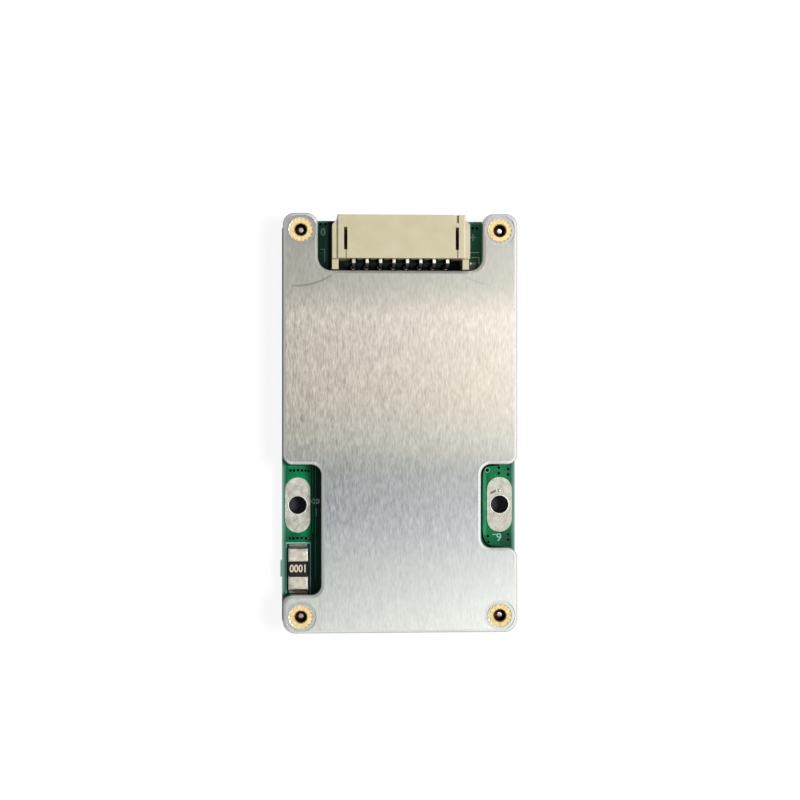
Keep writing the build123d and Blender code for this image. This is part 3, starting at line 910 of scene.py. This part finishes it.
for name in screw_nodes:
    at = middle(name)
    for source in (shank, head):
        copy = source.copy()
        copy.name = f"{source.name}_{name.removeprefix('screw_')}"
        copy.location = (at.x, at.y, screw_low.z)
        bpy.context.scene.collection.objects.link(copy)
        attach(copy, "root")
        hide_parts(name)
for source in (shank, head):
    bpy.data.objects.remove(source)
print("screws dressed:", len(screw_nodes))

# %% [markdown]
# ### Pressed metal round the nuts
#
# When a knurled nut is pressed in, the soft plate flows into the gaps between its teeth. A plain
# turned ring of plate metal under the nut's rim fills all sixteen gaps at once.

# %% Pressed metal
lip = [(1.45, -0.60), (1.45, -0.14), (1.62, -0.10), (1.815, -0.02), (1.815, -0.60)]
nut_tops = [Vector((*middle(name).xy, nut_top)) for name in nut_nodes]
new_piece("pressed_lips", turn_all(lip, nut_tops, 48), plate, crisp=60)
print("lips:", len(nut_tops))

# %% [markdown]
# ### Solder joints
#
# Molten solder climbs a pin and freezes in a hollow cone. The CAD cones have eight flat sides.
# A turned profile that starts flat on the board and steepens towards the pin gives the real
# shape, on both faces of the board, and stands for the CAD node.

# %% Solder joints
solder_low, solder_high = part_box("connector_solder")
joint_radius, joint_neck, joint_hollow, joint_steps = 0.70, 0.33, 2.6, 7
pin_pitch, pin_columns = 2.0, 8
tail_half = 0.25 * mm
tail_xs = [(k - (pin_columns - 1) / 2) * pin_pitch * mm for k in range(pin_columns)]
tail_ys = [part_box(name)[0].y + tail_half for name in pin_nodes]


def cone_profile(height):
    """A hollow cone: wide and flat at the foot, steep at the pin."""
    rise = [k / joint_steps for k in range(joint_steps + 1)]
    flare = joint_radius - joint_neck
    curve = [(joint_neck + flare * (1 - t) ** joint_hollow, height * t) for t in rise]
    return [(0, 0), *curve, (0, height)]


def joints(shape):
    """A tall cone on the board and a low one under it, at each pin tail."""
    tall = cone_profile((solder_high.z - board_top) / mm)
    low = cone_profile((board_bottom - solder_low.z) / mm)
    for x in tail_xs:
        for y in tail_ys:
            turned(shape, tall, Vector((x, y, board_top)), segments=24)
            turned(shape, low, Vector((x, y, board_bottom)), segments=24, flip=-1)


solder, tree, shader = principled("solder", rgb(222, 220, 212), metallic=1.0, roughness=0.16)
# Painted reflection: the steep flanks of each cone are painted dark, for the dark room they mirror;
# the flat foot stays bright.
foot = span(tree, absolute(tree, facing_axes(tree)["Z"]), 0.62, 0.80)
bright = ramp(tree, grain(tree, 0.5), (0.35, rgb(196, 196, 190)), (0.65, rgb(232, 231, 224)))
tree.links.new(span(tree, foot, 0.0, 1.0, 1.0, 0.35), shader.inputs["Metallic"])
surface(tree, shader, blend(tree, foot, rgb(52, 50, 46), bright), grain(tree, 0.3), 0.010)
solder_joints = new_piece("solder_joints", joints, solder, crisp=50)
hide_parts("connector_solder")
print("joints:", 2 * len(tail_xs) * len(tail_ys))

# %% [markdown]
# ### Vias
#
# A via is a tiny plated hole that joins the copper of both faces. Under solder mask it shows as
# a dark dot in a slightly raised ring. Each is a turned ring with a dark floor, so the dots have
# a real rim that catches the light. Their places are read off the photograph, once, in pixels.

# %% Vias
pixel = 0.1509 * mm
picture_x, picture_y = 398.6, 422.8


def at_pixel(px, py, z=board_top):
    """The point of the board's upper face that the photograph shows at a pixel."""
    return Vector(((px - picture_x) * pixel, (picture_y - py) * pixel, z))


via_pixels = [
    (499.5, 468.0), (499.5, 473.7), (509.0, 469.5), (509.0, 475.0), (509.0, 535.3), (509.0, 540.7),
    (290.0, 470.5), (293.5, 470.5), (297.5, 470.2), (301.5, 470.5), (305.0, 470.5), (308.0, 471.0),
    (289.5, 538.3), (293.0, 538.3), (297.0, 538.0), (301.0, 538.0), (305.5, 538.3),
    (320.0, 224.0), (325.0, 224.0), (473.0, 227.0), (477.5, 227.0), (488.5, 537.0), (489.0, 543.0),
]
via_spots = [at_pixel(*spot) for spot in via_pixels]
bare_spot = at_pixel(488.0, 470.5)
via_hole, via_ring = 0.20, 0.31
via_rim = [(via_hole, 0.0), (via_hole + 0.02, 0.03), (via_ring - 0.04, 0.03), (via_ring, 0.0)]
bare_rim = [(0.30, 0.0), (0.31, 0.03), (0.38, 0.03), (0.40, 0.0)]
dark_floor = [(0, 0.012), (via_hole + 0.015, 0.012)]

ink = speckled("print_ink", rgb(170, 214, 204), rgb(216, 238, 230), 0.14, 0.55, 0.004)
# Painted shade: print in full light gets this dimmer copy of the ink, print in shade the full ink.
ink_dimmed_for_light = speckled("ink_dimmed_for_light", rgb(104, 176, 154), rgb(150, 206, 188), 0.14, 0.55, 0.004)
no_shine = {"Specular IOR Level": 0.0}
dark_hole = speckled("dark_hole", rgb(0, 12, 8), rgb(2, 22, 16), 0.1, 0.8, 0.002, no_shine)
new_piece("via_rims", turn_all(via_rim, via_spots, 20), mask)
every_spot = [*via_spots, bare_spot]
new_piece("via_holes", turn_all(dark_floor, every_spot, 20), dark_hole)
new_piece("via_bare_ring", turn_all(bare_rim, [bare_spot], 24), ink_dimmed_for_light)
print("vias:", len(every_spot))

# %% [markdown]
# ### Tracks and print
#
# Copper tracks lie under the mask as low ridges, and the white print lies on it as a thin film.
# Both are ribbons: a line of points with a width and a height. One helper draws ribbons, with
# square mitres at the corners, and a second one any number of them at once.


# %% Ribbon helpers
def ribbon(shape, points, width, z, height):
    """A flat strip along points (x, y) in metres, from z up to z + height. Width, height in mm."""
    half = width * mm / 2
    path = [Vector(p[:2]) for p in points]
    sides = []
    for i, p in enumerate(path):
        before = (p - path[i - 1]).normalized() if i else (path[1] - p).normalized()
        after = (path[i + 1] - p).normalized() if i + 1 < len(path) else before
        across = Vector((-(before + after).y, (before + after).x)).normalized()
        stretch = half / max(0.35, across.dot(Vector((-after.y, after.x))))
        sides.append((p + across * stretch, p - across * stretch))
    rows = []
    for a, b in sides:
        lift = z + height * mm
        rows.append([shape.verts.new(v) for v in ((*a, z), (*a, lift), (*b, lift), (*b, z))])
    skin(shape, rows, capped=True)


def ribbons(lines, height, z=board_top):
    """Gives new_piece the function that draws all lines, each a pair of points and width."""

    def build(shape):
        for points, width in lines:
            ribbon(shape, points, width, z, height)

    return build


def seen_lines(pixel_lines):
    """Lines on the board, from (pixels, width) pairs read off the photograph."""
    return [([at_pixel(*spot) for spot in line], width) for line, width in pixel_lines]


print("ribbons ready")

# %% Tracks on the upper face
bright_mask, tree, shader = principled(
    "mask_over_copper", rgb(22, 156, 96), roughness=0.32, extra=gloss | {"Coat Roughness": 0.08}
)
streaky = grain(tree, (0.6, 1.5, 0.6))
bright_green = ramp(tree, streaky, (0.35, rgb(8, 140, 82)), (0.65, rgb(38, 166, 108)))
surface(tree, shader, bright_green, grain(tree, 0.25), 0.003)
track_lines = [
    ([(315.0, 466.0), (315.0, 580.0)], 0.14),
    ([(312.2, 464.0), (312.2, 533.0)], 0.14),
    ([(284.5, 466.6), (311.5, 466.6)], 0.16),
    ([(485.3, 472.0), (485.3, 536.0)], 0.50),
]
# Painted shade: a thin near-black line along the right recess's wall, where the gap under the
# plate's edge lies.
edge_shade_line = [
    (500.0, 465.2), (489.5, 465.6), (485.4, 467.8), (483.0, 471.5), (482.3, 478.0), (482.1, 500.0),
    (482.1, 530.0), (483.0, 538.0), (485.4, 543.4), (490.0, 547.0), (498.0, 548.2), (506.0, 548.4),
]
tracks = ribbons(seen_lines(track_lines), 0.025)
new_piece("tracks_upper", tracks, bright_mask)
edge_shade = ribbons(seen_lines([(edge_shade_line, 0.26)]), 0.012)
new_piece("edge_shade_line", edge_shade, dark_hole)
print("tracks:", len(track_lines), "and a line of painted shade")

# %% [markdown]
# The print that shows is a frame round the shunt, a bracket beside the connector and the signs
# of the terminals. The frame follows the shunt's own box, so it would still fit if the shunt
# moved. The terminals get plain signs, a bar for minus and a cross for plus, and a number each.

# %% Printed lines
shunt_low, shunt_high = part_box("shunt_solder")
element_low, element_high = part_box("shunt_element")
frame_gap = 0.33 * mm
frame_left, frame_right = element_low.x - frame_gap, element_high.x + frame_gap
frame_foot, frame_top = shunt_low.y - 0.10 * mm, shunt_high.y + 0.22 * mm
print_width, print_height = 0.15, 0.02
sign_lines = [
    [(320.2, 249.0), (324.2, 249.0), (324.2, 261.5)],
    [(315.6, 508.0), (315.6, 516.5)],
    [(470.6, 236.3), (476.2, 236.3)],
    [(473.3, 233.0), (473.3, 239.8)],
    [(471.0, 251.5), (479.5, 251.5)],
    [(472.0, 256.5), (479.5, 256.5), (479.5, 263.5)],
]
signs = ribbons(seen_lines([(line, print_width) for line in sign_lines]), print_height)
new_piece("print_lines", signs, ink)
frame_lines = [
    ([(frame_left, frame_top), (frame_right, frame_top)], 0.20),
    ([(frame_right, frame_top), (frame_right, frame_foot)], 0.10),
    ([(frame_left, frame_top), (frame_left, frame_foot)], 0.10),
    *seen_lines([([(497.5, 535.3), (493.0, 535.3)], print_width)]),
]
new_piece("print_frame", ribbons(frame_lines, print_height), ink_dimmed_for_light)
print("printed frame", round((frame_top - frame_foot) / mm, 1), "mm long")

# %% Printed numbers
font_scale, ink_height = 1.4, 0.006


def number(name, text, at, size, material, turn=0, offset=0.03, lift=0.01):
    """A flat number. At is its middle in metres, turn in degrees, all else in millimetres."""
    curve = bpy.data.curves.new(name, "FONT")
    curve.body = text
    curve.size = size * mm * font_scale
    curve.align_x, curve.align_y = "CENTER", "CENTER"
    curve.extrude = ink_height * mm
    curve.offset = offset * mm
    curve.resolution_u = 3
    curve.materials.append(material)
    made = new_object(name, curve)
    made.location = at + Vector((0, 0, lift * mm))
    made.rotation_euler = (0, 0, math.radians(turn))
    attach(made, "root")
    return made


number("print_left_terminal", "8", at_pixel(314.6, 501.3), 1.25, ink, turn=-90)
number("print_right_terminal", "9", at_pixel(499.5, 538.5), 1.2, ink_dimmed_for_light)
number("print_top_left", "0", at_pixel(322.6, 232.0), 1.1, ink)
print("numbers printed")

# %% [markdown]
# ### Shunt value
#
# The black coat of a shunt carries its value in pale digits. Plain digits stand in its middle.

# %% Shunt digits
digit_paint = speckled("digit_paint", rgb(206, 190, 156), rgb(246, 238, 214), 0.16, 0.5, 0.002)
digits_at = Vector((*middle("shunt_element").xy, element_high.z)) + Vector((0, 0.06 * mm, 0))
digits = number("shunt_digits", "0001", digits_at, 1.12, digit_paint, offset=0.045, lift=0.008)
digits.scale.x = 0.84
print("digits at", [round(v / mm, 1) for v in digits_at])

# %% [markdown]
# ### Pads
#
# Solder has crept round the mouth of each pad's hole and froze in a bright, rounded ring. A
# small blob sits beside the right one, next to a dark scratch.

# %% Pad rings, drop and scratch
shiny = {"Metallic": 0.35}
bright_tin = speckled(
    "bright_tin", rgb(190, 190, 182), rgb(222, 221, 214), 0.4, 0.4, 0.004, shiny
)
grime = speckled("grime", rgb(96, 88, 80), rgb(140, 132, 122), 0.2, 0.7, 0.004)
ring_start, ring_half, ring_height, ring_steps = pad_hole_radius / mm + 0.01, 0.10, 0.05, 8
pad_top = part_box("right_power_pad")[1].z
turns = [math.pi * k / ring_steps for k in range(ring_steps + 1)]
ring = [(ring_start + ring_half * (1 - math.cos(t)), ring_height * math.sin(t)) for t in turns]
pad_mouths = [Vector((*middle(name).xy, pad_top)) for name in pad_nodes]
new_piece("pad_solder_rings", turn_all(ring, pad_mouths, 48), bright_tin, crisp=60)

drop = [(0, 0.10), (0.12, 0.09), (0.21, 0.05), (0.26, 0.0)]
drop_at = at_pixel(500.0, 491.0, pad_top)
new_piece("solder_drop", turn_all(drop, [drop_at], 20), solder, crisp=70)
scratch_line = [(491.0, 494.0), (493.6, 492.4), (496.6, 491.0)]
scratch = ribbons(seen_lines([(scratch_line, 0.30)]), 0.012, pad_top)
new_piece("pad_scratch", scratch, grime)
print("pad rings", len(pad_mouths), "drop 1, scratch 1")

# %% [markdown]
# ## Underside
#
# The underside is hidden in the photograph, but the board is seen from all sides. Every lead
# needs a tinned land on the board to stand on. The frame already knows where the leads are: each
# one is an island in its node's mesh, so the islands' boxes give all the lands in one loop.


# %% Islands of a node
def islands(name):
    """The boxes (low, high) of the separate solids in a node, in metres."""
    shape = bmesh.new()
    shape.from_mesh(nodes[name].data)
    bmesh.ops.remove_doubles(shape, verts=shape.verts, dist=0.001 * mm)
    left_over, found = set(shape.verts), []
    while left_over:
        stack, island = [left_over.pop()], []
        while stack:
            vert = stack.pop()
            island.append(vert.co.copy())
            for edge in vert.link_edges:
                other = edge.other_vert(vert)
                if other in left_over:
                    left_over.remove(other)
                    stack.append(other)
        low = Vector([min(v[k] for v in island) for k in range(3)])
        high = Vector([max(v[k] for v in island) for k in range(3)])
        found.append((low, high))
    shape.free()
    return sorted(found, key=lambda pair: tuple(round(v, 6) for v in pair[0]))


lead_nodes = ["monitor_chip_leads", "controller_chip_leads", "bleed_transistor_leads"]
cap_nodes = ["bleed_resistor_ends", "capacitor_ends"]
print("leads:", sum(len(islands(name)) for name in lead_nodes))

# %% Lands under the leads and ends
land_height = 0.03 * mm
land_margin, fine_share = 0.10 * mm, 0.4
side_of = {"monitor_chip_leads": "monitor_chip", "controller_chip_leads": "controller_chip"}


def block(shape, low, high):
    """A box between two corners in metres."""
    matrix = Matrix.Translation((low + high) / 2) @ Matrix.Diagonal((*(high - low), 1.0))
    bmesh.ops.create_cube(shape, size=1.0, matrix=matrix)


def lands(shape):
    """A tinned land under each lead and end, a little larger than its foot."""
    for name in lead_nodes + cap_nodes:
        beside = land_margin * fine_share if name in side_of else land_margin
        grown = Vector((land_margin, beside, 0))
        for low, high in islands(name):
            foot_low = Vector((low.x, low.y, board_bottom - land_height)) - grown
            block(shape, foot_low, Vector((high.x, high.y, board_bottom)) + grown)


new_piece("lands_under", lands, tin)
print("lands placed")

# %% [markdown]
# From each lead of the two chips a fine track runs outwards to a via, in a fan. Heavy tracks
# join each bleed resistor to its transistor. All are ridges under the mask, in its lighter green.

# %% Tracks on the underside
under_height = 0.02
fan_reach, fan_stagger, fan_knee, fan_step = 1.3 * mm, 0.55 * mm, 0.5 * mm, 0.22 * mm
inner_x, outer_x, between_x = 9.5 * mm, 16.6 * mm, 12.9 * mm
resistor_width = 1.6 * mm
under_lines = []
fan_ends = []
for name, body in side_of.items():
    centre = middle(body)
    leads = sorted(islands(name), key=lambda lead: lead[0].y)
    for side in (-1, 1):
        row = [lead for lead in leads if side * (lead[0].x + lead[1].x - 2 * centre.x) > 0]
        for k, (low, high) in enumerate(row):
            y = (low.y + high.y) / 2
            toe = high.x if side > 0 else low.x
            spread = (k - (len(row) - 1) / 2) * fan_step
            reach = fan_reach + (fan_stagger if k % 2 else 0)
            end = (toe + side * reach, y + spread)
            under_lines.append(([(toe, y), (toe + side * fan_knee, y), end], 0.14))
            fan_ends.append(Vector((*end, board_bottom)))

resistor_ends = islands("bleed_resistor_ends")
for low, high in resistor_ends:
    x, y = (low.x + high.x) / 2, (low.y + high.y) / 2
    end_x = math.copysign(inner_x if abs(x) < between_x else outer_x, x)
    under_lines.append(([(x, y), (end_x, y)], 0.7))
rows = sorted({round(low.y / mm, 1) for low, _ in resistor_ends})
for x in (-outer_x, outer_x):
    under_lines.append(([(x, rows[0] * mm), (x, rows[-1] * mm + resistor_width)], 0.8))

under_floor = [(0, 0.022), (via_hole + 0.01, 0.022)]
under_tracks = ribbons(under_lines, under_height, board_bottom - under_height * mm)
new_piece("tracks_under", under_tracks, bright_mask)
new_piece("via_rims_under", turn_all(via_rim, fan_ends, 12, -1), mask)
new_piece("via_holes_under", turn_all(under_floor, fan_ends, 12, -1), dark_hole)
print("fan tracks:", len(fan_ends))

# %% [markdown]
# White outlines mark where each part goes, and a round dot marks pin one of a chip.


# %% Print on the underside
film_height, line_width = 0.015, 0.13
end_reach, part_gap, mouth_gap = 0.75 * mm, 0.28 * mm, 0.2 * mm
dot_radius, dot_off = 0.22, Vector((-1.5, 0.4)) * mm


def outline(shape, low, high, gap):
    """A printed rectangle round a box, on the underside."""
    x0, y0, x1, y1 = low.x - gap, low.y - gap, high.x + gap, high.y + gap
    corners = [(x0, y0), (x1, y0), (x1, y1), (x0, y1)]
    for k in range(4):
        line = [corners[k], corners[(k + 1) % 4]]
        ribbon(shape, line, line_width, board_bottom - film_height * mm, film_height)


def printed_outlines(shape):
    """Outlines of the resistors, the capacitors and the connector, and the dots of the chips."""
    for name, axis in (("bleed_resistors", 0), ("capacitors", 1)):
        grow = Vector([end_reach if k == axis else 0.0 for k in range(3)])
        for low, high in islands(name):
            outline(shape, low - grow, high + grow, part_gap)
    mouth = Vector((house_high.x, board_high.y - 0.5 * mm, 0))
    outline(shape, house_low, mouth, mouth_gap)
    dot = [(0, film_height), (dot_radius, film_height), (dot_radius, 0.0)]
    for name in side_of.values():
        low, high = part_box(name)
        at = Vector((low.x + dot_off.x, high.y + dot_off.y, board_bottom))
        turned(shape, dot, at, segments=20, flip=-1)


new_piece("print_under", printed_outlines, ink)
print("underside printed")

# %% [markdown]
# ## Measure and finish
#
# Both boxes, the CAD model's and the dressed model's, are measured here, and the distance
# between their corners is printed. The dressed model has to stay inside the CAD model's box.

# %% Sizes
dressed_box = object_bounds()
for cad_corner, dressed_corner in zip(cad_box, dressed_box):
    print([round((b - a) / mm, 3) for a, b in zip(cad_corner, dressed_corner)], "mm apart")
